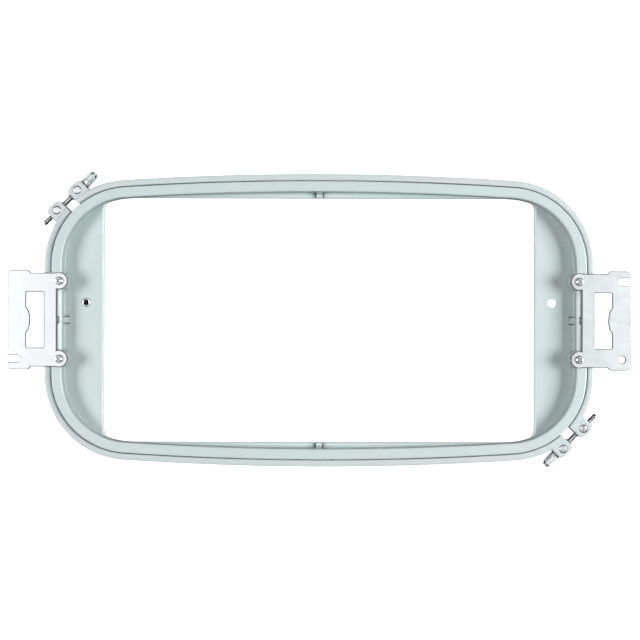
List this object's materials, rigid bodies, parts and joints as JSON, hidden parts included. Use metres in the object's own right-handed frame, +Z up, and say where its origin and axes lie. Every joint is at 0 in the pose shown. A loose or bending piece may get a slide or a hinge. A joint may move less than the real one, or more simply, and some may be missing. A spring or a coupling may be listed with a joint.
{
  "type": "embroidery hoop",
  "caption": "Large rectangular embroidery hoop: a two-part outer ring drawn together by corner screws around an inner frame with side panels and steel arm brackets.",
  "frame": {"origin": "centre of the frame on its fabric plane, the underside of the inner frame", "axes": "+X along the length towards the right bracket, +Y across the width, +Z up from the fabric towards the brackets"},
  "size_m": [0.5282, 0.2519, 0.0194],
  "materials": {
    "outer_ring_plastic": "pale grey-green moulded plastic, satin",
    "inner_frame_plastic": "pale grey-green moulded plastic, satin",
    "bracket_steel": "bright plated sheet steel, softly polished",
    "bracket_screw_steel": "zinc-plated, bright",
    "insert_brass": "machined",
    "bush_nickel": "nickel-plated, satin",
    "plug_rubber": "matt black",
    "barrel_nickel": "nickel-plated, turned",
    "small_steel": "plain spring steel",
    "knob_nickel": "nickel-plated, knurled",
    "shank_steel": "bright rolled thread"
  },
  "bodies": {
    "outer_upper": {"outer_ring_upper": "outer_ring_plastic", "pivot_barrel_a": "barrel_nickel", "nut_barrel_b": "barrel_nickel"},
    "outer_lower": {"outer_ring_lower": "outer_ring_plastic", "nut_barrel_a": "barrel_nickel", "pivot_barrel_b": "barrel_nickel"},
    "inner": {"inner_frame": "inner_frame_plastic", "bracket_left": "bracket_steel", "bracket_right": "bracket_steel", "panel_bush": "bush_nickel", "bush_plug": "plug_rubber", "bracket_screw_left_upper": "bracket_screw_steel", "thread_insert_left_upper": "insert_brass", "bracket_screw_left_lower": "bracket_screw_steel", "thread_insert_left_lower": "insert_brass", "bracket_screw_right_upper": "bracket_screw_steel", "thread_insert_right_upper": "insert_brass", "bracket_screw_right_lower": "bracket_screw_steel", "thread_insert_right_lower": "insert_brass"},
    "screw_a": {"tension_screw_a": "shank_steel", "knob_a": "knob_nickel", "knob_washer_a": "small_steel", "retaining_ring_a": "small_steel"},
    "screw_b": {"tension_screw_b": "shank_steel", "knob_b": "knob_nickel", "knob_washer_b": "small_steel", "retaining_ring_b": "small_steel"}
  },
  "joints": [
    {"name": "frame_opening", "type": "slide", "parent": "outer_upper", "child": "outer_lower", "axis": [-0.7071, -0.7071, 0], "range_m": [0, 0.006]},
    {"name": "inner_frame_lift", "type": "slide", "parent": "outer_upper", "child": "inner", "axis": [0, 0, 1], "range_m": [0, 0.04]},
    {"name": "screw_a_turn", "type": "hinge", "parent": "outer_upper", "child": "screw_a", "pos_m": [-0.20655, 0.11066, 0.0063], "axis": [0.7071, 0.7071, 0], "range_deg": [0, 3090]},
    {"name": "screw_b_turn", "type": "hinge", "parent": "outer_lower", "child": "screw_b", "pos_m": [0.2081, -0.10911, 0.0063], "axis": [-0.7071, -0.7071, 0], "range_deg": [0, 3090]}
  ],
  "couplings": [
    {"joint": "screw_a_turn", "follows": "frame_opening", "rad_per_m": 8976},
    {"joint": "screw_b_turn", "follows": "frame_opening", "rad_per_m": 8976}
  ]
}
